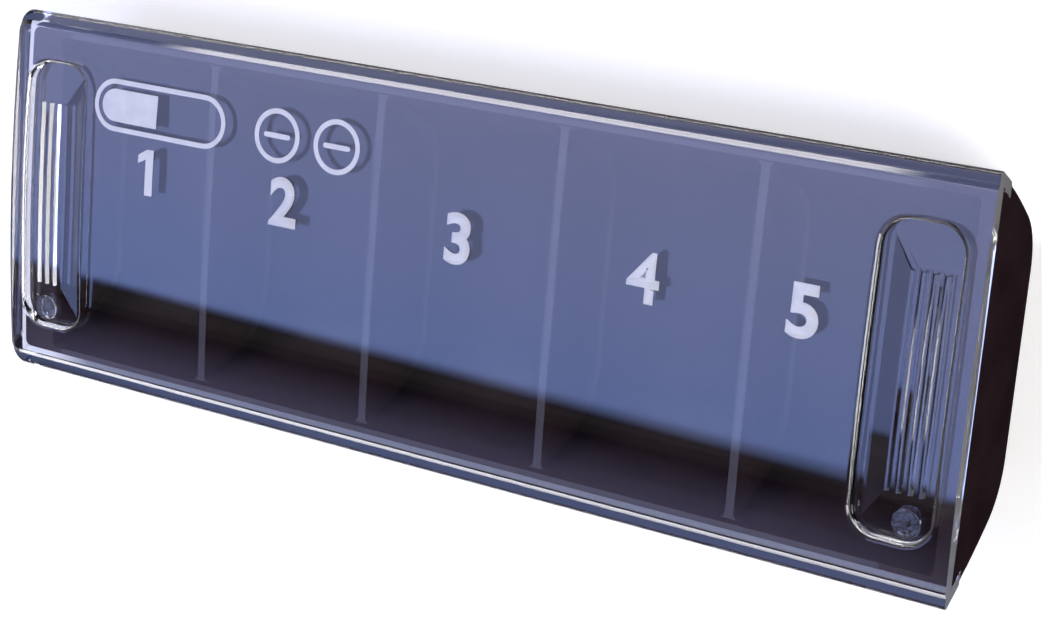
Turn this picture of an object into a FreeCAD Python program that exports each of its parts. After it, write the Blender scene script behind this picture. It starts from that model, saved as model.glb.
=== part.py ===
"""Day box for pills: a dark moulded tray with five compartments and a clear lid that slides on it.

Everything is in millimetres. X runs along the box, with the lid's closed end at -X.
Y runs across it and Z is up. The origin is under the middle of the closed box, on its flat base.
"""
import FreeCAD, Part

import math
import os

import Sketcher

# Driving sizes: name in the sheet, value in millimetres, and what it is on the box.
SIZES = [
    ("box_length", 114.0, "length of the closed box"),
    ("full_width", 41.7, "widest place, along the lid's two shoulders before they are rounded"),
    ("side_land", 1.85, "from the shoulder in to the crease of the crowned window"),
    ("crease_height", 14.3, "height of the window's two long edges above the base"),
    ("crown_rise", 0.8, "how far the window's middle stands above its edges"),
    ("foot_width", 26.0, "width where the sides would meet the base if it were not rounded"),
    ("side_radius", 70.0, "radius of the slight bulge of the sides, seen from the end"),
    ("foot_round", 7.0, "round between a side and the base"),
    ("crease_step", 0.3, "step from the window's edge down to the land round it"),
    ("window_bevel", 0.45, "width of the shallow bevel along the window's free edges"),
    ("window_drop", 0.2, "depth of that bevel at its outer edge"),
    ("end_land", 0.15, "land between the window's bevel and the lid's closed end"),
    ("window_corner", 1.3, "corners of the window at the closed end, seen from above"),
    ("shoulder_round", 0.4, "round along the lid's upper outer edge"),
    ("plate_edge", 1.5, "thickness of the window at its long edges"),
    ("skirt_depth", 3.9, "from the window's edge down to the lip of the skirt"),
    ("skirt_wall", 1.05, "thickness of the skirt, measured level, without the bulge of the side"),
    ("lip_round", 0.3, "round along the lip of the skirt"),
    ("corner_round", 2.0, "upright corners of the closed end, seen from above"),
    ("end_wall", 1.3, "thickness of the lid's closed end"),
    ("side_gap", 0.2, "running clearance between skirt and rail"),
    ("slide_gap", 0.2, "running clearance between the window and the tray's rim"),
    ("lip_gap", 0.2, "clearance between the skirt's lip and the tray's ledge"),
    ("end_gap", 0.2, "clearance between the closed end and the tray"),
    ("rim_width", 0.9, "width of the tray's rim on each long side"),
    ("floor_wall", 1.2, "thickness of the tray's base"),
    ("foot_wall", 0.9, "side wall at the height of the floor, measured level"),
    ("closed_end_wall", 4.25, "tray wall behind the lid's closed end, at the height of the rails"),
    ("open_end_wall", 1.7, "tray wall at the lid's open end"),
    ("divider_wall", 0.9, "thickness of a divider"),
    ("divider_drop", 0.6, "how far the dividers stay below the rim"),
    ("cell_count", 5.0, "number of compartments"),
    ("cell_round", 0.6, "round between a divider and the floor of its compartment"),
    ("rail_corner", 0.8, "upright corners of the rails behind the lid's closed end"),
    ("rail_round", 0.25, "round along the rails' upper outer edge"),
    ("closed_end_round", 2.0, "round about the tray's end under the lid's closed end"),
    ("open_end_round", 0.5, "round about the tray's end under the lid's open end"),
    ("well_width", 8.9, "finger well with its brim, measured along the box"),
    ("well_end_inset", 3.35, "from the window's crease in to the end of a finger well's brim"),
    ("well_depth", 0.95, "depth of a finger well below the crowned window"),
    ("well_round", 3.2, "corners of a finger well's brim, seen from above"),
    ("well_brim", 0.5, "round along the brim of a finger well"),
    ("well_inset_closed", 1.95, "from the closed end to its well"),
    ("well_inset_open", 1.65, "from the open end to its well"),
    ("rib_end_inset", 5.15, "from a well's end in to the ends of its grip ribs"),
    ("rib_pitch", 1.13, "spacing of the grip ribs"),
    ("rib_height", 0.35, "height of the grip ribs above the well's floor"),
    ("rib_base", 0.9, "width of a grip rib where it stands on the floor"),
    ("rib_top", 0.2, "width of a grip rib's flat top"),
    ("rib_inset", 1.45, "from the well's outer edge to the first rib"),
    ("ramp_inset", 1.35, "from the well's other edge to the foot of the ramp beside the ribs"),
    ("ramp_end_inset", 1.85, "from a well's end in to the end of the ramp's foot"),
    ("mark_width", 2.8, "round mark of a mould pin on the floor of each finger well"),
    ("mark_height", 0.15, "height of the mark's middle above the floor"),
    ("mark_inset", 2.25, "from the well's end to the middle of its mark"),
]
RIB_COUNT = 3

# Lengths in millimetres that shape nothing that is seen.
CLEAR = 1.0  # how far a cutting outline stands clear of what it cuts
BITE = 0.1  # how far a piece reaches into the one that it is fused to
NEAR = 0.01  # how close two places count as the same
NIL = 1e-6  # what counts as no distance at all


class Size:
    """A length known both as a number and as the expression that keeps it bound to the sheet."""

    def __init__(self, value, formula=None):
        self.value = float(value)
        self.formula = str(value) if formula is None else formula

    def combined(self, other, sign, value):
        return Size(value, "(" + self.formula + sign + other.formula + ")")

    def __add__(self, other):
        other = as_size(other)
        return self.combined(other, " + ", self.value + other.value)

    def __sub__(self, other):
        other = as_size(other)
        return self.combined(other, " - ", self.value - other.value)

    def __mul__(self, other):
        other = as_size(other)
        return self.combined(other, " * ", self.value * other.value)

    def __rmul__(self, number):
        return as_size(number) * self

    def __truediv__(self, other):
        other = as_size(other)
        return self.combined(other, " / ", self.value / other.value)

    def __neg__(self):
        return Size(-self.value, "(-" + self.formula + ")")


def as_size(number):
    return number if isinstance(number, Size) else Size(number)


def root(size):
    return Size(math.sqrt(size.value), "sqrt(" + size.formula + ")")


doc = FreeCAD.newDocument("day_box")
sheet = doc.addObject("Spreadsheet::Sheet", "Sizes")
cell = {}
for row, (alias, number, meaning) in enumerate(SIZES, start=1):
    sheet.set("A%d" % row, alias)
    sheet.set("B%d" % row, str(number))
    sheet.set("C%d" % row, meaning)
    sheet.setAlias("B%d" % row, alias)
    cell[alias] = Size(number, "Sizes." + alias)
doc.recompute()

# Places that several features share, worked out from the driving sizes.
HALF_LENGTH = cell["box_length"] / 2
CREASE = cell["crease_height"]
LAND = CREASE - cell["crease_step"]
LIP = CREASE - cell["skirt_depth"]
STEP = LIP - cell["lip_gap"]
UNDERSIDE = CREASE - cell["plate_edge"]
RIM = UNDERSIDE - cell["slide_gap"]
RAIL_START = cell["end_wall"] + cell["end_gap"] - HALF_LENGTH
CELLS = cell["cell_count"]
CELLS_START = RAIL_START + cell["closed_end_wall"]
CELLS_SPAN = HALF_LENGTH - cell["open_end_wall"] - CELLS_START
CELL_LENGTH = (CELLS_SPAN - (CELLS - 1) * cell["divider_wall"]) / CELLS
CELL_PITCH = CELL_LENGTH + cell["divider_wall"]
HALF_WINDOW = cell["full_width"] / 2 - cell["side_land"]
CROWN_RADIUS = (HALF_WINDOW * HALF_WINDOW / cell["crown_rise"] + cell["crown_rise"]) / 2
CROWN_AXIS = CREASE + cell["crown_rise"] - CROWN_RADIUS
WELL_LENGTH = 2 * (HALF_WINDOW - cell["well_end_inset"])
LEAN = (cell["full_width"] - cell["foot_width"]) / 2 / LAND


def chord(height):
    """Half width of the straight line from the foot to the shoulder, at a height."""
    return cell["foot_width"] / 2 + height * LEAN


def rail_face(height):
    return chord(height) - cell["skirt_wall"] - cell["side_gap"]


def skirt_face(height):
    return chord(height) - cell["skirt_wall"]


RIM_INSIDE = rail_face(RIM) - cell["rim_width"]
FLOOR = cell["floor_wall"]
FLOOR_INSIDE = chord(FLOOR) - cell["foot_wall"]
CELL_LEAN = (RIM_INSIDE - FLOOR_INSIDE) / (RIM - FLOOR)


def cell_face(height):
    """Half width of a compartment at a height."""
    return FLOOR_INSIDE + (height - FLOOR) * CELL_LEAN


def on_side(height):
    """Half width of the bulging side at a height, as a first place for the sketch's solver."""
    foot = cell["foot_width"].value / 2
    shoulder = cell["full_width"].value / 2
    run = shoulder - foot
    rise = LAND.value
    half_chord = math.hypot(run, rise) / 2
    radius = cell["side_radius"].value
    inward = math.sqrt(radius ** 2 - half_chord ** 2)
    centre_y = foot + run / 2 - inward * rise / (2 * half_chord)
    centre_z = rise / 2 + inward * run / (2 * half_chord)
    return Size(centre_y + math.sqrt(radius ** 2 - (height.value - centre_z) ** 2), "free")


def on_crown(across):
    """Height of the crowned window at a half width, as a first place for the sketch's solver."""
    rise = math.sqrt(CROWN_RADIUS.value ** 2 - across.value ** 2)
    return Size(CROWN_AXIS.value + rise, "free")


def crown_height(below, across):
    """Height at a half width of a level that follows the crown, a distance below it."""
    radius = CROWN_RADIUS - below
    return CROWN_AXIS + root(radius * radius - across * across)


def new_body(label):
    body = doc.addObject("PartDesign::Body", label)
    body.Label = label
    return body


def new_sketch(body, name, plane, offset=None):
    """A sketch on one of the body's own planes, or at an offset along that plane's normal."""
    sketch = body.newObject("Sketcher::SketchObject", name)
    support = [part for part in body.Origin.OriginFeatures if part.Role == plane][0]
    sketch.AttachmentSupport = [(support, "")]
    sketch.MapMode = "FlatFace"
    if offset is not None:
        shift = FreeCAD.Vector(0, 0, offset.value)
        sketch.AttachmentOffset = FreeCAD.Placement(shift, FreeCAD.Rotation())
        sketch.setExpression("AttachmentOffset.Base.z", offset.formula)
    return sketch


def add_bound(sketch, constraint, name, size):
    """Add a dimension to a sketch and bind it to the sheet."""
    number = sketch.addConstraint(constraint)
    sketch.renameConstraint(number, name)
    sketch.setExpression("Constraints." + name, size.formula)


def pin(sketch, geometry, end, name, across, up):
    """Give a point its distances from the sketch's origin, unless its place follows from an arc."""
    for kind, size in (("DistanceX", across), ("DistanceY", up)):
        if size.formula == "free":
            continue
        if abs(size.value) < NIL:
            axis = -2 if kind == "DistanceX" else -1
            sketch.addConstraint(Sketcher.Constraint("PointOnObject", geometry, end, axis))
            continue
        dimension = Sketcher.Constraint(kind, -1, 1, geometry, end, size.value)
        add_bound(sketch, dimension, name + kind[-1], size)


def arc_middle(start, finish, radius, left):
    """A point halfway along an arc of a radius that bulges to the left or right of its travel."""
    chord_vector = finish - start
    half = chord_vector.Length / 2
    sagitta = radius - math.sqrt(max(radius ** 2 - half ** 2, 0))
    normal = FreeCAD.Vector(-chord_vector.y, chord_vector.x, 0).normalize()
    return (start + finish) / 2 + normal * (sagitta if left else -sagitta)


def draw_outline(sketch, corners, arcs=None, through=None):
    """Draw a closed outline through corners given as (across, up).

    arcs maps a corner's number to (radius, left) for the arc that leaves that corner.
    through maps a corner's number to points that its arc passes when it is drawn on.
    """
    arcs = arcs or {}
    through = through or {}
    points = [FreeCAD.Vector(across.value, up.value, 0) for across, up in corners]
    starts = []
    for number, start in enumerate(points):
        finish = points[(number + 1) % len(points)]
        if number in arcs:
            radius, left = arcs[number]
            middle = arc_middle(start, finish, radius.value, left)
            sketch.addGeometry(Part.Arc(start, middle, finish), False)
        else:
            sketch.addGeometry(Part.LineSegment(start, finish), False)
        drawn_forward = sketch.getPoint(number, 1).distanceToPoint(start) < NIL
        starts.append(1 if drawn_forward else 2)
    for number in range(len(points)):
        following = (number + 1) % len(points)
        end = 3 - starts[number]
        join = Sketcher.Constraint("Coincident", number, end, following, starts[following])
        sketch.addConstraint(join)
    for number, (across, up) in enumerate(corners):
        pin(sketch, number, starts[number], "corner%d" % number, across, up)
    for number, (radius, left) in arcs.items():
        dimension = Sketcher.Constraint("Radius", number, radius.value)
        add_bound(sketch, dimension, "radius%d" % number, radius)
    for number, places in through.items():
        for count, (across, up) in enumerate(places):
            guide = sketch.addGeometry(Part.Point(FreeCAD.Vector(across.value, up.value, 0)), True)
            pin(sketch, guide, 1, "guide%dno%d" % (number, count), across, up)
            sketch.addConstraint(Sketcher.Constraint("PointOnObject", guide, 1, number))


def mirrored(corners):
    """The right-hand corners, followed by their mirror images in reverse order."""
    return corners + [(free_left(across) if across.formula == "free" else -across, up)
                      for across, up in reversed(corners)]


def free_left(across):
    return Size(-across.value, "free")


def settle(feature):
    """Bring the document up to date, and make sure that the feature came out."""
    doc.recompute()
    if "Invalid" in feature.State or "Error" in feature.State:
        raise RuntimeError(feature.Name + " failed: " + str(feature.State))
    return feature


def pad(body, name, sketch, length, both_ways=False):
    feature = body.newObject("PartDesign::Pad", name)
    feature.Profile = sketch
    feature.SideType = "Symmetric" if both_ways else "One side"
    feature.Length = length.value
    feature.setExpression("Length", length.formula)
    return settle(feature)


def pocket(body, name, sketch, length, reverse=False):
    """Cut a sketch's outline into the body, and make sure that something was cut."""
    before = body.Shape.Volume
    feature = body.newObject("PartDesign::Pocket", name)
    feature.Profile = sketch
    feature.Reversed = reverse
    feature.Length = length.value
    feature.setExpression("Length", length.formula)
    settle(feature)
    if body.Shape.Volume > before - NEAR:
        raise RuntimeError(name + " cuts nothing")
    return feature


def swing(width):
    """The angle about the crown's axis that spans a width across the box."""
    ratio = width / 2 / CROWN_RADIUS
    return Size(2 * math.degrees(math.asin(ratio.value)), "2 * asin(" + ratio.formula + ")")


def turn(body, kind, name, sketch, width):
    """Swing a sketch's outline about the crown's axis, to cut it (Groove) or add it (Revolution)."""
    before = body.Shape.Volume
    feature = body.newObject("PartDesign::" + kind, name)
    feature.Profile = sketch
    feature.ReferenceAxis = (sketch, ["Axis0"])
    feature.Midplane = True
    angle = swing(width)
    feature.Angle = angle.value
    feature.setExpression("Angle", angle.formula)
    settle(feature)
    change = body.Shape.Volume - before
    if abs(change) < NEAR or (change > 0) != (kind == "Revolution"):
        raise RuntimeError(name + " has no effect")
    return feature


def add_crown_axis(sketch, start, finish):
    """Draw the crown's axis in a sketch, as its first construction line."""
    ends = [FreeCAD.Vector(across.value, CROWN_AXIS.value, 0) for across in (start, finish)]
    line = sketch.addGeometry(Part.LineSegment(*ends), True)
    pin(sketch, line, 1, "axis0", start, CROWN_AXIS)
    pin(sketch, line, 2, "axis1", finish, CROWN_AXIS)


def edges_where(shape, test):
    return ["Edge%d" % number for number, edge in enumerate(shape.Edges, start=1) if test(edge)]


def round_edges(body, name, radius, test):
    """Round the edges of the body so far that pass a test on where they lie."""
    tip = body.Tip
    names = edges_where(tip.Shape, test)
    if not names:
        raise RuntimeError(name + " finds no edge")
    feature = body.newObject("PartDesign::Fillet", name)
    feature.Base = (tip, names)
    feature.Radius = radius.value
    feature.setExpression("Radius", radius.formula)
    return settle(feature)


def bevel_edges(body, name, across, down, flip, test):
    """Bevel edges of the body so far, with a width of its own on each of their two faces."""
    tip = body.Tip
    names = edges_where(tip.Shape, test)
    if not names:
        raise RuntimeError(name + " finds no edge")
    feature = body.newObject("PartDesign::Chamfer", name)
    feature.Base = (tip, names)
    feature.ChamferType = "Two distances"
    feature.FlipDirection = flip
    feature.Size = across.value
    feature.setExpression("Size", across.formula)
    feature.Size2 = down.value
    feature.setExpression("Size2", down.formula)
    return settle(feature)


def lies_at(edge, **limits):
    """Whether an edge's box has the given values, such as XMin=3."""
    box = edge.BoundBox
    return all(abs(getattr(box, key) - value) < NEAR for key, value in limits.items())


def upright(edge):
    """Whether an edge runs up more than it runs along or across."""
    box = edge.BoundBox
    return box.ZLength > max(box.XLength, box.YLength)


def build_tray():
    """The dark tray: D-shaped shell, dovetail rails, and compartments cut out of it."""
    body = new_body("tray")
    foot = cell["foot_width"] / 2
    shoulder = (cell["full_width"] / 2, LAND)
    bulge = (cell["side_radius"], False)

    # Shell below the lid: flat base, bulging sides up to the ledge that the skirt stops above.
    outline = new_sketch(body, "shell_outline", "YZ_Plane")
    ledge = on_side(STEP)
    corners = [(foot, Size(0)), (ledge, STEP), (free_left(ledge), STEP), (-foot, Size(0))]
    draw_outline(outline, corners, {0: bulge, 2: bulge},
                 {0: [shoulder], 2: [(-shoulder[0], shoulder[1])]})
    pad(body, "shell", outline, cell["box_length"], both_ways=True)

    # Rails: a dovetail, wider at the rim than at the ledge, which the lid's skirts hold on to.
    outline = new_sketch(body, "rail_outline", "YZ_Plane", RAIL_START)
    draw_outline(outline, mirrored([(rail_face(RIM), RIM), (rail_face(STEP), STEP)]))
    pad(body, "rails", outline, HALF_LENGTH - RAIL_START)

    base_level = 0.0
    half_length = HALF_LENGTH.value
    round_edges(body, "foot_rounds", cell["foot_round"],
                lambda edge: lies_at(edge, ZMin=base_level, ZMax=base_level)
                and edge.BoundBox.XLength > half_length)
    ledge_level = STEP.value
    round_edges(body, "closed_end_rounds", cell["closed_end_round"],
                lambda edge: lies_at(edge, XMin=-half_length, XMax=-half_length)
                and not lies_at(edge, ZMin=ledge_level, ZMax=ledge_level))
    round_edges(body, "open_end_rounds", cell["open_end_round"],
                lambda edge: lies_at(edge, XMin=half_length, XMax=half_length)
                and edge.BoundBox.ZMax < ledge_level + NEAR
                and not lies_at(edge, ZMin=ledge_level, ZMax=ledge_level))

    rail_start = RAIL_START.value
    rim_level = RIM.value
    round_edges(body, "rail_corners", cell["rail_corner"],
                lambda edge: lies_at(edge, XMin=rail_start, XMax=rail_start)
                and edge.BoundBox.ZMin > ledge_level - NEAR and upright(edge))
    round_edges(body, "rail_rounds", cell["rail_round"],
                lambda edge: lies_at(edge, ZMin=rim_level, ZMax=rim_level)
                and edge.BoundBox.XMin < half_length - NEAR)

    # Compartments: one is cut with its scooped floor, then repeated along the tray.
    # The scoop's arc leaves the leaning wall and meets the floor equally far from their corner.
    outline = new_sketch(body, "cell_outline", "YZ_Plane", CELLS_START)
    above = RIM + CLEAR
    scoop = cell["foot_round"] - cell["floor_wall"]
    slant = root(CELL_LEAN * CELL_LEAN + 1)
    reach = scoop * (slant - CELL_LEAN)
    wall_end = FLOOR + reach / slant
    draw_outline(outline, mirrored([(cell_face(above), above), (cell_face(wall_end), wall_end),
                                    (FLOOR_INSIDE - reach, FLOOR)]),
                 {1: (scoop, True), 3: (scoop, True)})
    first = pocket(body, "first_cell", outline, CELL_LENGTH, reverse=True)
    row = body.newObject("PartDesign::LinearPattern", "cell_row")
    row.Originals = [first]
    row.Direction = (outline, ["N_Axis"])
    row.Mode = "Spacing"
    row.Offset = CELL_PITCH.value
    row.setExpression("Offset", CELL_PITCH.formula)
    row.Occurrences = int(CELLS.value)
    row.setExpression("Occurrences", CELLS.formula)
    body.Tip = row
    doc.recompute()

    # The dividers stay below the rim, so that the window never rubs on them.
    outline = new_sketch(body, "divider_top_outline", "YZ_Plane", CELLS_START)
    top = RIM - cell["divider_drop"]
    draw_outline(outline, mirrored([(cell_face(above), above), (cell_face(top), top)]))
    pocket(body, "divider_tops", outline, CELLS_SPAN, reverse=True)
    floor_level = FLOOR.value
    top_level = top.value
    cells_from = CELLS_START.value
    cells_to = (CELLS_START + CELLS_SPAN).value
    round_edges(body, "cell_rounds", cell["cell_round"],
                lambda edge: edge.BoundBox.XLength < NEAR
                and edge.BoundBox.XMin > cells_from - NEAR
                and edge.BoundBox.XMax < cells_to + NEAR
                and edge.BoundBox.ZMin > floor_level - NEAR
                and edge.BoundBox.ZMin < top_level - CLEAR)
    return body


def build_grip(name, outer, inward):
    """The ramp and ribs of one finger well, as a body that is then fused to the lid."""
    body = new_body(name)
    top = CREASE + cell["crown_rise"]
    floor = top - cell["well_depth"]
    crest = floor + cell["rib_height"]
    sunk = floor - BITE
    first = outer + inward * cell["rib_inset"]
    back = first + inward * RIB_COUNT * cell["rib_pitch"]
    slope = (cell["rib_base"] - cell["rib_top"]) / 2
    brow = back + inward * (slope + cell["rib_top"])
    foot = outer + inward * (cell["well_width"] - cell["ramp_inset"])
    half_ribs = WELL_LENGTH / 2 - cell["rib_end_inset"]
    half_ramp = WELL_LENGTH / 2 - cell["ramp_end_inset"]

    # In plan the ribs end square, and the ramp's ends run out at a slant to its foot.
    plan = new_sketch(body, name + "_plan", "XY_Plane", UNDERSIDE + BITE)
    draw_outline(plan, [(first, half_ribs), (brow, half_ribs), (foot, half_ramp),
                        (foot, -half_ramp), (brow, -half_ribs), (first, -half_ribs)])
    pad(body, name + "_block", plan, cell["plate_edge"] + cell["crown_rise"])

    # Everything above the row of ribs and the slope of the ramp is swung away.
    corners = [(first, sunk)]
    for number in range(RIB_COUNT):
        near = first + inward * number * cell["rib_pitch"]
        far = near + inward * cell["rib_base"]
        corners += [(near + inward * slope, crest), (far - inward * slope, crest), (far, sunk)]
        corners += [(near + inward * cell["rib_pitch"], sunk)]
    corners += [(back + inward * slope, crest), (brow, crest), (foot, floor)]
    above = top + CLEAR
    corners += [(foot + inward, floor), (foot + inward, above), (first - inward, above),
                (first - inward, sunk)]
    trim = new_sketch(body, name + "_profile", "XZ_Plane")
    draw_outline(trim, corners)
    add_crown_axis(trim, first, foot)
    turn(body, "Groove", name + "_teeth", trim, WELL_LENGTH)
    return body


def build_mark(name, outer, inward):
    """The mark of a round mould pin in one finger well, as a body that is then fused to the lid."""
    body = new_body(name)
    ribs = (RIB_COUNT - 1) * cell["rib_pitch"] + cell["rib_base"]
    middle = outer + inward * (cell["rib_inset"] + ribs / 2)
    place = cell["mark_inset"] - WELL_LENGTH / 2
    radius = cell["mark_width"] / 2
    plan = new_sketch(body, name + "_plan", "XY_Plane", UNDERSIDE + BITE)
    centre = FreeCAD.Vector(middle.value, place.value, 0)
    circle = plan.addGeometry(Part.Circle(centre, FreeCAD.Vector(0, 0, 1), radius.value), False)
    pin(plan, circle, 3, "middle", middle, place)
    add_bound(plan, Sketcher.Constraint("Radius", circle, radius.value), "radius", radius)
    # A pin's end is flat, so the mark's top doesn't follow the crown as the floor does.
    top = crown_height(cell["well_depth"], place) + cell["mark_height"]
    pad(body, name + "_disc", plan, top - UNDERSIDE - BITE)
    return body


def add_well(body, name, outer, inward):
    """Cut a finger well whose brim starts at outer and which runs inward, then give it its ribs."""
    top = CREASE + cell["crown_rise"]
    floor = top - cell["well_depth"]
    edge_of_wall = outer + inward * cell["well_brim"]
    far_wall = outer + inward * (cell["well_width"] - cell["well_brim"])
    wall_length = WELL_LENGTH - 2 * cell["well_brim"]

    outline = new_sketch(body, name + "_well_outline", "XZ_Plane")
    draw_outline(outline, [(edge_of_wall, floor), (far_wall, floor), (far_wall, top + CLEAR),
                           (edge_of_wall, top + CLEAR)])
    add_crown_axis(outline, edge_of_wall, far_wall)
    turn(body, "Groove", name + "_well", outline, wall_length)

    low, high = sorted([edge_of_wall.value, far_wall.value])
    axis = CROWN_AXIS.value
    radius = CROWN_RADIUS.value

    def in_well(edge):
        box = edge.BoundBox
        return box.XMin > low - NEAR and box.XMax < high + NEAR and box.ZMin > UNDERSIDE.value

    def on_window(edge):
        ends = [edge.valueAt(edge.FirstParameter), edge.valueAt(edge.LastParameter)]
        return all(abs(math.hypot(point.y, point.z - axis) - radius) < NEAR for point in ends)

    round_edges(body, name + "_well_corners", cell["well_round"] - cell["well_brim"],
                lambda edge: in_well(edge) and upright(edge))
    round_edges(body, name + "_well_brim", cell["well_brim"],
                lambda edge: in_well(edge) and on_window(edge))


def build_lid():
    """The clear lid: crowned window, skirts that grip the rails, one closed end, two finger wells."""
    body = new_body("lid")
    foot = cell["foot_width"] / 2
    shoulder = cell["full_width"] / 2
    half_length = HALF_LENGTH.value

    # The block below the land, with its corners and edges rounded while it is still plain.
    outline = new_sketch(body, "block_outline", "YZ_Plane")
    bulge = (cell["side_radius"], True)
    draw_outline(outline, mirrored([(shoulder, LAND), (on_side(LIP), LIP)]),
                 {0: bulge, 2: bulge}, {0: [(foot, Size(0))], 2: [(-foot, Size(0))]})
    pad(body, "block", outline, cell["box_length"], both_ways=True)
    round_edges(body, "corner_rounds", cell["corner_round"],
                lambda edge: lies_at(edge, XMin=-half_length, XMax=-half_length)
                and upright(edge))
    for name, level in (("shoulder", LAND.value), ("lip", LIP.value)):
        round_edges(body, name + "_rounds", cell[name + "_round"],
                    lambda edge: lies_at(edge, ZMin=level, ZMax=level)
                    and not lies_at(edge, XMin=half_length, XMax=half_length))

    # The crowned window stands on it as a raised panel, with a bevel along its three free sides.
    panel_side = HALF_WINDOW + cell["window_bevel"]
    panel_end = cell["end_land"] - HALF_LENGTH
    corner = cell["window_corner"]
    outline = new_sketch(body, "window_plan", "XY_Plane", LAND - cell["crease_step"])
    draw_outline(outline, [(HALF_LENGTH, -panel_side), (HALF_LENGTH, panel_side),
                           (panel_end + corner, panel_side), (panel_end, panel_side - corner),
                           (panel_end, corner - panel_side), (panel_end + corner, -panel_side)],
                 {2: (corner, False), 4: (corner, False)})
    pad(body, "window", outline, cell["crown_rise"] + 2 * cell["crease_step"] + CLEAR)
    outline = new_sketch(body, "crown_outline", "YZ_Plane", -HALF_LENGTH)
    side = panel_side + CLEAR
    above = CREASE + cell["crown_rise"] + 2 * CLEAR
    draw_outline(outline, mirrored([(side, above), (side, on_crown(side))]),
                 {1: (CROWN_RADIUS, False)},
                 {1: [(HALF_WINDOW, CREASE), (-HALF_WINDOW, CREASE)]})
    pocket(body, "crown", outline, cell["box_length"], reverse=True)
    crown_edge = on_crown(panel_side).value
    bevel_edges(body, "window_bevel", cell["window_bevel"], cell["window_drop"], True,
                lambda edge: edge.BoundBox.ZMin > crown_edge - NEAR
                and edge.BoundBox.XMin < half_length - NEAR)

    # The channel for the tray's rails runs out at the open end.
    outline = new_sketch(body, "channel_outline", "YZ_Plane", cell["end_wall"] - HALF_LENGTH)
    below = LIP - CLEAR
    draw_outline(outline, mirrored([(skirt_face(UNDERSIDE), UNDERSIDE), (skirt_face(below), below)]))
    pocket(body, "channel", outline, cell["box_length"], reverse=True)

    # Finger wells follow the crown. The outer side of each is the one towards its end of the box.
    for name, outer, inward in (("closed", cell["well_inset_closed"] - HALF_LENGTH, 1),
                                ("open", HALF_LENGTH - cell["well_inset_open"], -1)):
        add_well(body, name, outer, inward)
        grip = build_grip(name + "_grip", outer, inward)
        mark = build_mark(name + "_mark", outer, inward)
        fuse = body.newObject("PartDesign::Boolean", name + "_ribs")
        fuse.Type = "Fuse"
        fuse.setObjects([grip, mark])
        body.Tip = fuse
        doc.recompute()
    return body


def main():
    parts = [build_tray(), build_lid()]
    doc.recompute()
    for thing in doc.Objects:
        if "Invalid" in thing.State or "Error" in thing.State:
            raise RuntimeError(thing.Name + " failed: " + str(thing.State))
    os.makedirs("parts", exist_ok=True)
    for part in parts:
        shape = part.Shape
        if shape.isNull() or not shape.isValid():
            raise RuntimeError(part.Label + " has no valid shape")
        shape.exportStep("parts/" + part.Label + ".step")
        if len(shape.Solids) != 1:
            raise RuntimeError(part.Label + " is in %d pieces" % len(shape.Solids))
        print(part.Label, "volume", round(shape.Volume, 1), shape.BoundBox)


main()
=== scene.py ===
# %% [markdown]
# # A daily pill organizer
# A clear lid slides along a dark moulded tray with five compartments.
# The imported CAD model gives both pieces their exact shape, so this script leaves their
# meshes alone and works on what the eye reads next: dark plastic, clear plastic, print and light.
# Everything is in metres. X runs along the box to its right end, Y across it to its back,
# and Z is up.

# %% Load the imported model
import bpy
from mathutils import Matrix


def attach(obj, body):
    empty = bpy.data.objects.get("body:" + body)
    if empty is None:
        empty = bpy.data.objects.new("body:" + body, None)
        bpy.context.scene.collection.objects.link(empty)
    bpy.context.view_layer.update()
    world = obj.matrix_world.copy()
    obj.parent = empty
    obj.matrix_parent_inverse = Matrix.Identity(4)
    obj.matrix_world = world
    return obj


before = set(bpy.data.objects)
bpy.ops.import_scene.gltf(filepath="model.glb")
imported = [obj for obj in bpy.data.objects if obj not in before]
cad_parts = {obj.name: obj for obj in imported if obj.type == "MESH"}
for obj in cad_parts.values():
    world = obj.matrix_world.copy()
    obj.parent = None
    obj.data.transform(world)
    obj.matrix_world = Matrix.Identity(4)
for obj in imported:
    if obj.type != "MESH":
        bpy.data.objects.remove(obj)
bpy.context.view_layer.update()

import math

import bmesh
import bpy
from mathutils import Matrix, Quaternion, Vector

MM = 0.001
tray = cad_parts["tray"]
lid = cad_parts["lid"]

# %% [markdown]
# ## Where the picture is taken from
# The box was photographed from 23 cm away: from above, to its right and a little to its back.
# A camera this close shows the near end larger, so its place matters as much as its lens.
# The numbers come from fitting a camera to the outline and the long edges of the lid.
# Three directions describe how it is turned: to its right, up, and back towards the photographer.

# %% The camera
PHOTO_WIDTH = 1042
CENTRE_ABOVE_MIDDLE = 63
LENS = 74.3355
SENSOR_WIDTH = 36
NEAREST = 10 * MM
CAMERA_PLACE = (0.1104713, 0.0536090, 0.1967430)
TO_RIGHT = (0.8640036, 0.0778211, -0.4974351)
TO_TOP = (-0.1795524, 0.9706473, -0.1600150)
TO_BACK = (0.4703815, 0.2275692, 0.8526157)


def add_camera():
    camera = bpy.data.objects.new("camera", bpy.data.cameras.new("camera"))
    bpy.context.scene.collection.objects.link(camera)
    camera.data.sensor_width = SENSOR_WIDTH
    camera.data.lens = LENS
    camera.data.shift_y = -CENTRE_ABOVE_MIDDLE / PHOTO_WIDTH
    camera.data.clip_start = NEAREST
    turned = Matrix((TO_RIGHT, TO_TOP, TO_BACK)).transposed().to_4x4()
    camera.matrix_world = Matrix.Translation(CAMERA_PLACE) @ turned
    return camera


bpy.context.scene.camera = add_camera()
bpy.context.scene.view_settings.view_transform = "Standard"
print("camera at", [round(v / MM) for v in CAMERA_PLACE], "mm with a lens of", LENS, "mm")

# %% [markdown]
# ## Small helpers for materials
# A material is a chain of nodes. These helpers keep each chain short to read: one adds a node
# and sets its sockets by name or number, one starts a material, and one ends it in a shader.

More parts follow.
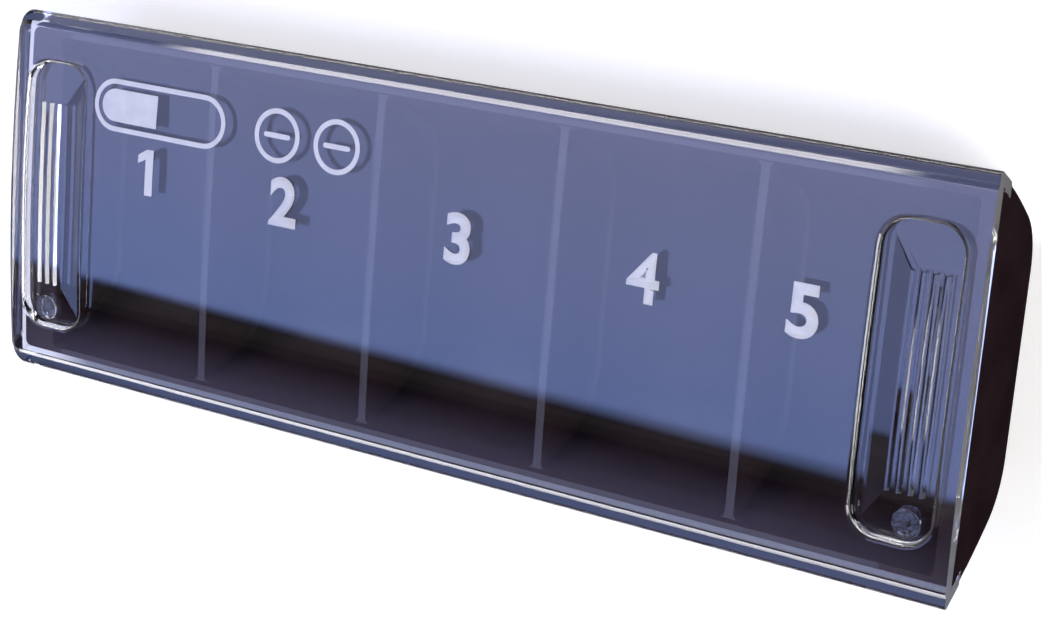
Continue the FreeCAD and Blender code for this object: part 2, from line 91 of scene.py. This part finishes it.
# %% Start, fill and end a material
def add_node(tree, kind, inputs=None, **settings):
    """A shader node. Each of its inputs is given a value, or is linked to another socket."""
    node = tree.nodes.new("ShaderNode" + kind)
    for name, value in settings.items():
        setattr(node, name, value)
    for name, value in (inputs or {}).items():
        socket = node.inputs[name]
        if isinstance(value, bpy.types.NodeSocket):
            tree.links.new(value, socket)
        else:
            socket.default_value = value
    return node


def new_material(name):
    """A material without nodes, and the tree that will hold them."""
    material = bpy.data.materials.new(name)
    material.use_nodes = True
    material.node_tree.nodes.clear()
    return material, material.node_tree


def show(tree, shader):
    """End the chain of nodes in this shader."""
    output = tree.nodes.new("ShaderNodeOutputMaterial")
    tree.links.new(shader, output.inputs["Surface"])


print("helpers: add_node, new_material, show")

# %% [markdown]
# Finishes vary with place, direction and noise. The next helpers read where a point lies and
# which way it faces, turn one range of numbers into another, and mix colours or shaders.
# Each returns sockets, so that the calls can be nested like a formula.
# Noise mostly stays between 0.3 and 0.7, so that range is stretched to the ends asked for.

# %% Read, calculate and mix
NOISE_LOW = 0.3
NOISE_HIGH = 0.7
NOISE_DETAIL = 3


def coordinates(tree, kind):
    """The X, Y and Z sockets of Object, Normal or Generated coordinates."""
    source = add_node(tree, "TexCoord").outputs[kind]
    return add_node(tree, "SeparateXYZ", {"Vector": source}).outputs


def calculate(tree, operation, *values):
    """A calculation with numbers."""
    return add_node(tree, "Math", dict(enumerate(values)), operation=operation).outputs[0]


def vector_math(tree, operation, *values):
    """A vector calculation. The node's first output is a vector and its second a number."""
    return add_node(tree, "VectorMath", dict(enumerate(values)), operation=operation).outputs


def ramp(tree, value, start, end, low, high, smooth=False):
    """Low where the value is at the start, high where it is at the end, and graded in between."""
    kind ="SMOOTHSTEP" if smooth else "LINEAR"
    inputs = {"Value": value, "From Min": start, "From Max": end, "To Min": low, "To Max": high}
    return add_node(tree, "MapRange", inputs, interpolation_type=kind).outputs["Result"]


def noise(tree, scale, low, high):
    """A cloudy number between two ends. The scale counts the clouds in a metre."""
    place = add_node(tree, "TexCoord").outputs["Object"]
    cloud = add_node(tree, "TexNoise", {"Vector": place, "Scale": scale, "Detail": NOISE_DETAIL})
    return ramp(tree, cloud.outputs["Fac"], NOISE_LOW, NOISE_HIGH, low, high)


def mix_colour(tree, factor, first, second):
    """The first colour at zero, the second at one. Either is red, green and blue or a socket."""
    node =add_node(tree, "Mix", {"Factor": factor}, data_type="RGBA")
    for name, colour in (("A", first), ("B", second)):
        if isinstance(colour, bpy.types.NodeSocket):
            tree.links.new(colour, node.inputs[name])
        else:
            node.inputs[name].default_value = (*colour, 1)
    return node.outputs["Result"]


def mix_shader(tree, factor, first, second):
    """The first shader at zero and the second at one."""
    node =add_node(tree, "MixShader", {"Fac": factor})
    tree.links.new(first, node.inputs[1])
    tree.links.new(second, node.inputs[2])
    return node.outputs["Shader"]


print("helpers: coordinates, calculate, vector_math, ramp, noise, mix_colour, mix_shader")

# %% [markdown]
# ## The dark plastic of the tray
# The tray is moulded in a near-black plastic with a trace of aubergine. The flat tops of its
# dividers and rails are painted paler: a painted highlight in place of the light they catch.
# Its flanks and ends mirror nothing, so the smooth skin is a coat that only covers what faces up.
# A painted map could hold both, but a mask from place and direction follows the CAD shape by itself.

# %% Where the tray gets a painted highlight and where it is smooth
TOPS = 11.9 * MM
HIGHLIGHT_HALF = 50 * MM
SKIN = 0.3


def scuffed(tree):
    """One on the flat tops of dividers and rails, short of the ends, where a highlight is painted;
    zero elsewhere.
    """
    place = coordinates(tree, "Object")
    high = calculate(tree, "GREATER_THAN", place["Z"], TOPS)
    up = ramp(tree, coordinates(tree, "Normal")["Z"], 0.8, 1, 0, 1)
    along = calculate(tree, "ABSOLUTE", place["X"])
    between = calculate(tree, "LESS_THAN", along, HIGHLIGHT_HALF)
    return calculate(tree, "MULTIPLY", calculate(tree, "MULTIPLY", high, up), between)


def skin(tree):
    """How much of the smooth skin shows: none on flanks and ends, which are spark-eroded matt."""
    return ramp(tree, coordinates(tree, "Normal")["Z"], 0.1, 0.5, 0, SKIN)


print("scuffed above", round(TOPS / MM, 1), "mm, smooth where it faces up")

# %% [markdown]
# The tint drifts a little between two dark aubergines, as pigment does in a moulding.
# A fine grain in the bump keeps highlights from looking cut out of paper.

# %% The tray's material
DARK = (0.012, 0.0066, 0.0078)
LESS_DARK = (0.018, 0.0104, 0.0120)
PAINTED_HIGHLIGHT_TINT = (0.036, 0.033, 0.042)
TINT_SCALE = 180
GRAIN_SCALE = 2600
GRAIN_DEPTH = 0.01 * MM


def tray_plastic():
    material, tree = new_material("tray_plastic")
    tint = mix_colour(tree, noise(tree, TINT_SCALE, 0, 1), DARK, LESS_DARK)
    # The paler tops are a painted highlight on dividers and rails.
    tint = mix_colour(tree, scuffed(tree), tint, PAINTED_HIGHLIGHT_TINT)
    grain = noise(tree, GRAIN_SCALE, 0, 1)
    bump = add_node(tree, "Bump", {"Height": grain, "Distance": GRAIN_DEPTH, "Strength": 0.35})
    shader = add_node(
        tree,
        "BsdfPrincipled",
        {
            "Base Color": tint,
            "Roughness": noise(tree, GRAIN_SCALE, 0.48, 0.60),
            "Normal": bump.outputs["Normal"],
            "IOR": 1.5,
            "Specular IOR Level": 0,
            "Coat Weight": skin(tree),
            "Coat Roughness": 0.5,
        },
    )
    show(tree, shader.outputs["BSDF"])
    return material


tray.data.materials[0] = tray_plastic()
print("tray:", tray.data.materials[0].name)

# %% [markdown]
# ## The window's two faces
# In the photograph both faces of the window mirror the same edge of the room, so the real
# underside follows the crown. The modelled one is flat. The mesh stays as it is, and the
# normals of the underside are tilted instead, as far as those of the crown above them.
# The crown is an arc, so its rise over half the window gives its radius.

# %% Tilt the underside's normals
CROWN_TOP = 15.1 * MM
CREASE_HEIGHT = 14.3 * MM
UNDERSIDE_HEIGHT = 12.8 * MM
HALF_WINDOW = 19.0 * MM
CROWN_RISE = CROWN_TOP - CREASE_HEIGHT
CROWN_RADIUS = (HALF_WINDOW**2 / CROWN_RISE + CROWN_RISE) / 2


def bent_normal(tree):
    """The surface's normal, leaning as the crown does where the window's underside is hit."""
    normal = add_node(tree, "NewGeometry").outputs["Normal"]
    up = add_node(tree, "SeparateXYZ", {"Vector": normal}).outputs["Z"]
    place = coordinates(tree, "Object")
    underside = calculate(tree, "COMPARE", place["Z"], UNDERSIDE_HEIGHT, 0.05 * MM)
    lean = calculate(tree, "MULTIPLY", calculate(tree, "DIVIDE", place["Y"], CROWN_RADIUS), up)
    lean = calculate(tree, "MULTIPLY", lean, underside)
    offset = add_node(tree, "CombineXYZ", {"Y": lean}).outputs[0]
    return vector_math(tree, "NORMALIZE", vector_math(tree, "ADD", normal, offset)[0])[0]


print("the crown's radius is", round(CROWN_RADIUS / MM), "mm")

# %% [markdown]
# ## The mould's pins
# The pins that push the lid out of its mould leave a frosted disc in each finger well.
# Distance from a disc's middle, measured flat, makes the mask for it.

# %% Where the lid is frosted
PIN_MARKS = ((-51.92 * MM, -13.4 * MM), (52.22 * MM, -13.4 * MM))
PIN_RADIUS = 1.4 * MM


def frosted(tree):
    """One inside the discs that the pins leave, and zero elsewhere."""
    total = 0
    flat = vector_math(tree, "MULTIPLY", add_node(tree, "TexCoord").outputs["Object"], (1, 1, 0))[0]
    for x, y in PIN_MARKS:
        away = vector_math(tree, "DISTANCE", flat, (x, y, 0))["Value"]
        inside = ramp(tree, away, PIN_RADIUS, 0.9 * PIN_RADIUS, 0, 1)
        total = calculate(tree, "ADD", inside, total)
    return total


print("frosted discs:", len(PIN_MARKS))

# %% [markdown]
# ## The clear plastic of the lid
# Clear styrene bends light strongly, and it is polished: only a breath of haze breaks
# the reflections, and the frosted discs are rougher and pitted.
# Lamps must reach the tray through the lid. Bent light is slow to find its way there, so
# the shader simply lets shadow rays pass with a slight loss.

# %% The lid's material
STYRENE = (0.97, 0.98, 1, 1)
LAMPLIGHT_LEFT = (0.93, 0.94, 0.96, 1)
HAZE = 0.03
HAZE_SCALE = 900
FROST = 0.06
PIT_DEPTH = 0.07 * MM
PIT_SCALE = 1500


def lid_clear():
    material, tree = new_material("lid_clear")
    frost = frosted(tree)
    haze = noise(tree, HAZE_SCALE, 0, HAZE)
    pits = calculate(tree, "MULTIPLY", frost, noise(tree, PIT_SCALE, 0, 1))
    surface = {"Height": pits, "Distance": PIT_DEPTH, "Strength": 1.0, "Normal": bent_normal(tree)}
    glass = add_node(
        tree,
        "BsdfPrincipled",
        {
            "Base Color": STYRENE,
            "Roughness": calculate(tree, "MULTIPLY_ADD", frost, FROST, haze),
            "Normal": add_node(tree, "Bump", surface).outputs["Normal"],
            "IOR": 1.59,
            "Transmission Weight": 1,
        },
    )
    through = add_node(tree, "BsdfTransparent", {"Color": LAMPLIGHT_LEFT})
    shadow = add_node(tree, "LightPath").outputs["Is Shadow Ray"]
    show(tree, mix_shader(tree, shadow, glass.outputs["BSDF"], through.outputs["BSDF"]))
    return material


lid.data.materials[0] = lid_clear()
print("lid:", lid.data.materials[0].name)

# %% [markdown]
# ## The print on the window
# A pad printer lays about a hundredth of a millimetre of opaque pale ink on the window's crown.
# Plain numbers tell the five compartments apart, one over each, and a plain capsule with two
# tablets behind them tells what the box is for.
# A flat outline doesn't lie on a crown by itself, so it is cut into narrow strips along the
# box and each point then takes the crown's height at its own place.
# An extrusion lists its new faces in an order that changes from run to run, though the shape
# stays the same. Sorting all faces by their corners gives every run the same face order.

# %% Lay flat outlines on the crown
INK = 0.008 * MM
STRIP = 0.4 * MM
SAME_POINT = 1e-7


def crown_height(y):
    return CROWN_TOP - CROWN_RADIUS + math.sqrt(CROWN_RADIUS**2 - y**2)


def cut_into_strips(shape):
    across = [vertex.co.y for vertex in shape.verts]
    low, high = min(across), max(across)
    for number in range(1, math.ceil((high - low) / STRIP)):
        everything = shape.verts[:] + shape.edges[:] + shape.faces[:]
        line = (0, low + number * STRIP, 0)
        bmesh.ops.bisect_plane(shape, geom=everything, plane_co=line, plane_no=(0, 1, 0))
    bmesh.ops.remove_doubles(shape, verts=shape.verts[:], dist=SAME_POINT)


def thicken(shape):
    raised = bmesh.ops.extrude_face_region(shape, geom=shape.faces[:])["geom"]
    for part in raised:
        if isinstance(part, bmesh.types.BMVert):
            part.co.z += INK
    bmesh.ops.recalc_face_normals(shape, faces=shape.faces[:])


def sort_faces(shape):
    shape.verts.index_update()
    by_corners = sorted(shape.faces, key=lambda face: [vertex.index for vertex in face.verts])
    for rank, face in enumerate(by_corners):
        face.index = rank
    shape.faces.sort()


def lay_on_crown(name, mesh, material):
    """Cut a flat mesh into strips, set it on the window and give it the ink's thickness."""
    shape = bmesh.new()
    shape.from_mesh(mesh)
    cut_into_strips(shape)
    for vertex in shape.verts:
        vertex.co.z = crown_height(vertex.co.y)
    thicken(shape)
    sort_faces(shape)
    shape.to_mesh(mesh)
    shape.free()
    piece = bpy.data.objects.new(name, mesh)
    bpy.context.scene.collection.objects.link(piece)
    mesh.materials.clear()
    mesh.materials.append(material)
    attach(piece, "lid")
    print(name, "has", len(mesh.polygons), "faces")


print("strips of", round(STRIP / MM, 2), "mm, ink", round(INK / MM, 3), "mm thick")

# %% [markdown]
# ## The ink itself
# The ink is opaque and matt, a pale grey with a little lavender. Its coverage varies
# slightly, as a soft pad never presses quite evenly.

# %% The ink's material
INK_GREY = (0.56, 0.58, 0.68)
INK_PALE = (0.64, 0.66, 0.76)
COVERAGE_SCALE = 700
MATT_SCALE = 2000
INK_GRAIN_SCALE = 5000


def print_ink():
    material, tree = new_material("print_ink")
    grain = noise(tree, INK_GRAIN_SCALE, 0, 1)
    bump = add_node(tree, "Bump", {"Height": grain, "Distance": GRAIN_DEPTH, "Strength": 0.4})
    shader = add_node(
        tree,
        "BsdfPrincipled",
        {
            "Base Color": mix_colour(tree, noise(tree, COVERAGE_SCALE, 0, 1), INK_GREY, INK_PALE),
            "Roughness": noise(tree, MATT_SCALE, 0.6, 0.75),
            "Normal": bump.outputs["Normal"],
            "Specular IOR Level": 0.3,
        },
    )
    show(tree, shader.outputs["BSDF"])
    return material


ink = print_ink()
print("ink:", ink.name)

# %% [markdown]
# ## Numbers for the compartments
# A text curve gives clean outlines for the digits. Widening the curve a little makes them
# as bold as print on a pill box needs to be, and the 4 is widened less, so that its hole
# stays open. Blender's own 1 is a bare stroke, so that digit is drawn from seven points,
# with a flag.

# %% Print the numbers
NUMBER_BASE = 2.5 * MM
NUMBER_SIZE = 7.0 * MM
NUMBER_PLACES = (-37.4 * MM, -18.8 * MM, 2.9 * MM, 23.9 * MM, 40.5 * MM)
WIDENING = 0.035
WIDENING_OF_4 = 0.022
ONE = ((0, 0), (0.15, 0), (0.15, 0.73), (0.02, 0.73), (-0.15, 0.62), (-0.15, 0.49), (0, 0.57))


def drawn_one(x):
    mesh = bpy.data.meshes.new("digit")
    points = [(x + right * NUMBER_SIZE, NUMBER_BASE + up * NUMBER_SIZE, 0) for right, up in ONE]
    mesh.from_pydata(points, [], [tuple(range(len(points)))])
    return mesh


def written_digit(digit, x):
    curve = bpy.data.curves.new("digit", "FONT")
    curve.body = digit
    curve.align_x = "CENTER"
    curve.size = NUMBER_SIZE
    curve.offset = (WIDENING_OF_4 if digit == "4" else WIDENING) * NUMBER_SIZE
    curve.resolution_u = 6
    holder = bpy.data.objects.new("digit", curve)
    bpy.context.scene.collection.objects.link(holder)
    bpy.context.view_layer.update()
    mesh = bpy.data.meshes.new_from_object(holder)
    bpy.data.objects.remove(holder)
    mesh.transform(Matrix.Translation((x, NUMBER_BASE, 0)))
    return mesh


for number, x in enumerate(NUMBER_PLACES, start=1):
    outline = drawn_one(x) if number == 1 else written_digit(str(number), x)
    lay_on_crown("print_number_%d" % number, outline, ink)

# %% [markdown]
# ## A capsule and tablets
# The sign is drawn as outlines: a long capsule whose one half is filled, then two round
# tablets with a score line. All of them are bars with round ends, a tablet being one that is
# as long as it is high, so one function gives the points of every ring.

# %% Shapes with round ends
SIGN_MIDDLE = 11.8 * MM
LINE = 0.55 * MM


def rounded_bar(x0, x1, half, steps=20):
    """Points round a bar with round ends, from the foot of its right end on."""
    points = []
    for centre, start in ((x1 - half, -90), (x0 + half, 90)):
        for step in range(steps + 1):
            angle = math.radians(start + 180 * step / steps)
            points.append((centre + half * math.cos(angle), SIGN_MIDDLE + half * math.sin(angle)))
    return points


def add_outline(shape, x0, x1, half):
    """A ring as wide as the sign's line, along the inside of a bar with round ends."""
    rings = []
    for ring in (rounded_bar(x0, x1, half), rounded_bar(x0 + LINE, x1 - LINE, half - LINE)):
        rings.append([shape.verts.new((x, y, 0)) for x, y in ring])
    outer, inner = rings
    for number in range(len(outer)):
        following = (number + 1) % len(outer)
        shape.faces.new((outer[number], outer[following], inner[following], inner[number]))


def add_patch(shape, points):
    shape.faces.new([shape.verts.new((x, y, 0)) for x, y in points])


print("the sign's line is", round(LINE / MM, 2), "mm wide")

# %% [markdown]
# The capsule's filled half keeps a line's width away from the outline all round. It ends half
# a line short of the middle, where the two halves of a real capsule meet.

# %% Print the sign
SIGN_HALF = 2.9 * MM
CAPSULE_START = -45 * MM
CAPSULE_END = -27 * MM
TABLET_MIDDLES = (-20.2 * MM, -12.6 * MM)
SCORE_HALF = SIGN_HALF - 2.2 * LINE


def add_capsule(shape):
    add_outline(shape, CAPSULE_START, CAPSULE_END, SIGN_HALF)
    middle = (CAPSULE_START + CAPSULE_END) / 2
    half = SIGN_HALF - 2 * LINE
    bar = rounded_bar(CAPSULE_START + 2 * LINE, CAPSULE_END, half)
    rounding = [point for point in bar if point[0] < middle]
    cut = middle - LINE / 2
    add_patch(shape, [(cut, SIGN_MIDDLE + half), *rounding, (cut, SIGN_MIDDLE - half)])


def add_tablet(shape, middle):
    add_outline(shape, middle - SIGN_HALF, middle + SIGN_HALF, SIGN_HALF)
    add_patch(shape, rounded_bar(middle - SCORE_HALF, middle + SCORE_HALF, LINE / 2, steps=6))


def sign_mesh():
    shape = bmesh.new()
    add_capsule(shape)
    for middle in TABLET_MIDDLES:
        add_tablet(shape, middle)
    bmesh.ops.remove_doubles(shape, verts=shape.verts[:], dist=SAME_POINT)
    mesh = bpy.data.meshes.new("print_sign")
    shape.to_mesh(mesh)
    shape.free()
    return mesh


lay_on_crown("print_sign", sign_mesh(), ink)

# %% [markdown]
# ## The floor
# The box lies on plain white. The floor glows a little for the camera, so it stays white
# round the box and keeps the shadow under it. The glow never lights the box itself.
# Seen by way of the clear lid, the floor is painted dim beside the box: a painted shade that keeps
# the skirts dark.
# Past the ends it is bright: it draws the lid's pale end face and shows through an open lid.

# %% The floor's material
FLOOR_WHITE = 0.86
FLOOR_GLOW = 0.4
# Painted shade: how dim the floor beside the box looks in reflections and through the lid.
FLOOR_PAINTED_SHADE = 0.22
FLOOR_PAST_ENDS = 0.9
BESIDE_UP_TO = 56 * MM
PAST_FROM = 62 * MM


def floor_white():
    material, tree = new_material("floor_white")
    light = add_node(tree, "LightPath").outputs
    away = calculate(tree, "ABSOLUTE", coordinates(tree, "Object")["X"])
    # Painted shade: dim beside the box for rays that come by way of a surface, bright past the ends.
    painted_shade_by_way_of_lid = ramp(tree, away, BESIDE_UP_TO, PAST_FROM, FLOOR_PAINTED_SHADE, FLOOR_PAST_ENDS)
    shade = ramp(tree, light["Is Glossy Ray"], 0, 1, FLOOR_WHITE, painted_shade_by_way_of_lid)
    matt = add_node(tree, "BsdfDiffuse", {"Color": shade}).outputs["BSDF"]
    glow = add_node(tree, "Emission", {"Color": (1, 1, 1, 1), "Strength": FLOOR_GLOW})
    both = add_node(tree, "AddShader")
    tree.links.new(matt, both.inputs[0])
    tree.links.new(glow.outputs["Emission"], both.inputs[1])
    show(tree, mix_shader(tree, light["Is Camera Ray"], matt, both.outputs["Shader"]))
    return material


print("floor:", FLOOR_WHITE, "and a glow of", FLOOR_GLOW, "for the camera")

# %% [markdown]
# Floor and light panels are both plain rectangles of one face, so one function makes them.
# It makes them face down, as the panels hang above the box, and the floor is flipped over.
# The floor lies a hair under the box, as two surfaces at the same height would flicker.

# %% Lay the floor
FLOOR_REACH = 3
FLOOR_DROP = 0.01 * MM


def rectangle(name, half_x, half_y, material):
    """A rectangle that faces down, with its object, in the scene."""
    mesh = bpy.data.meshes.new(name)
    corners = [(-half_x, -half_y, 0), (half_x, -half_y, 0), (half_x, half_y, 0), (-half_x, half_y, 0)]
    mesh.from_pydata(corners, [], [(0, 3, 2, 1)])
    mesh.materials.append(material)
    piece = bpy.data.objects.new(name, mesh)
    bpy.context.scene.collection.objects.link(piece)
    return piece


floor = rectangle("floor", FLOOR_REACH, FLOOR_REACH, floor_white())
floor.data.flip_normals()
floor.location.z = -FLOOR_DROP
print("floor", 2 * FLOOR_REACH, "m wide")

# %% [markdown]
# ## The light
# A lid this glossy shows the room, so its look is mostly what it mirrors.
# Panels are mesh planes, because their glow can then fade across them: towards the rim,
# and from one colour to another along the panel. They stay out of the camera's sight.

# %% Make a panel
def panel_glow(name, near, far, fade):
    """A glow that turns from one colour to another along the panel and fades at its rim."""
    material, tree = new_material(name)
    place = coordinates(tree, "Generated")
    strength = 1
    for axis in ("X", "Y"):
        for edge, inner in ((0, fade), (1, 1 - fade)):
            rim = ramp(tree, place[axis], edge, inner, 0, 1, smooth=True)
            strength = calculate(tree, "MULTIPLY", strength, rim)
    colour = mix_colour(tree, place["Y"], near, far)
    glow = add_node(tree, "Emission", {"Color": colour, "Strength": strength})
    show(tree, glow.outputs["Emission"])
    return material


def add_panel(name, place, aim, size, near, far=None, fade=0.08, turn=0):
    panel = rectangle(name, size[0] / 2, size[1] / 2, panel_glow(name, near, far or near, fade))
    panel.location = place
    panel.rotation_mode = "QUATERNION"
    facing = (Vector(aim) - Vector(place)).to_track_quat("-Z", "Y")
    panel.rotation_quaternion = facing @ Quaternion((0, 0, 1), math.radians(turn))
    panel.visible_camera = False
    print(name, "is", size[0], "by", size[1], "m")


print("helpers: panel_glow, add_panel")

# %% [markdown]
# A wide cool panel beyond the left end fills most of the window with a lavender blue, deepest
# towards its lower edge. Where the panel ends the window turns dark and shows the tray, and a
# dim second panel leaves a trace of violet there. The key light, from the right, models the
# print. A lower panel beside it stands where the ribs of the left finger well mirror it, as
# they gleam in the photograph. Two narrow strips draw the bright lines along the lid's long edges.

# %% Hang the panels
BOX_MIDDLE = (0, 0, 0)
LEFT_WELL = (-0.052, 0, 0.014)

add_panel("sky_panel", place=(-0.39, -0.045, 0.6), aim=(-0.39, -0.045, 0), size=(0.66, 0.45),
          near=(0.86, 1.23, 2.75), far=(1.6, 1.65, 2.7), fade=0.03, turn=-2)
add_panel("low_sky", place=(-0.39, -0.46, 0.6), aim=(-0.39, -0.46, 0), size=(0.7, 0.34),
          near=(0.28, 0.27, 0.52), fade=0.25)
add_panel("key", place=(0.40, -0.13, 0.49), aim=BOX_MIDDLE, size=(0.2, 0.2),
          near=(12, 11.4, 10.8))
add_panel("well_light", place=(0.468, -0.129, 0.283), aim=LEFT_WELL, size=(0.22, 0.15),
          near=(12, 11.9, 12.3))
add_panel("back_strip", place=(-0.45, 0.6, 0.6), aim=BOX_MIDDLE, size=(0.75, 0.18),
          near=(10, 9.6, 9.9))
add_panel("front_strip", place=(-0.42, -0.80, 0.18), aim=BOX_MIDDLE, size=(0.62, 0.14),
          near=(7, 7, 7.4))

# %% [markdown]
# ## The room
# The room itself is bright near the horizon and dim overhead. The sides, edges and ends of
# the box then catch thin bright lines, while the window stays free of a grey veil.
# It is dimmer to the right, which keeps the ribs of the right finger well dark.
# The camera sees the room as plain white.

# %% Light the room
ROOM_LOW = 1.0
ROOM_HIGH = 0.07
ROOM_RIGHT = 0.15
BRIGHT_UP_TO = 0.3
DIM_FROM = 0.55
RIGHT_FROM = 0.4
RIGHT_END = 0.85


def light_room():
    """A world whose strength follows a direction's height and how far right it points."""
    world = bpy.data.worlds.new("room")
    world.use_nodes = True
    bpy.context.scene.world = world
    tree = world.node_tree
    ray = coordinates(tree, "Generated")
    by_height = ramp(tree, ray["Z"], BRIGHT_UP_TO, DIM_FROM, ROOM_LOW, ROOM_HIGH, smooth=True)
    by_side = ramp(tree, ray["X"], RIGHT_FROM, RIGHT_END, 1, ROOM_RIGHT)
    strength = calculate(tree, "MULTIPLY", by_height, by_side)
    direct = add_node(tree, "LightPath").outputs["Is Camera Ray"]
    air = tree.nodes["Background"]
    tree.links.new(calculate(tree, "MAXIMUM", strength, direct), air.inputs["Strength"])
    air.inputs["Color"].default_value = (1, 1, 1, 1)


light_room()
print("room from", ROOM_LOW, "at the horizon to", ROOM_HIGH, "overhead")
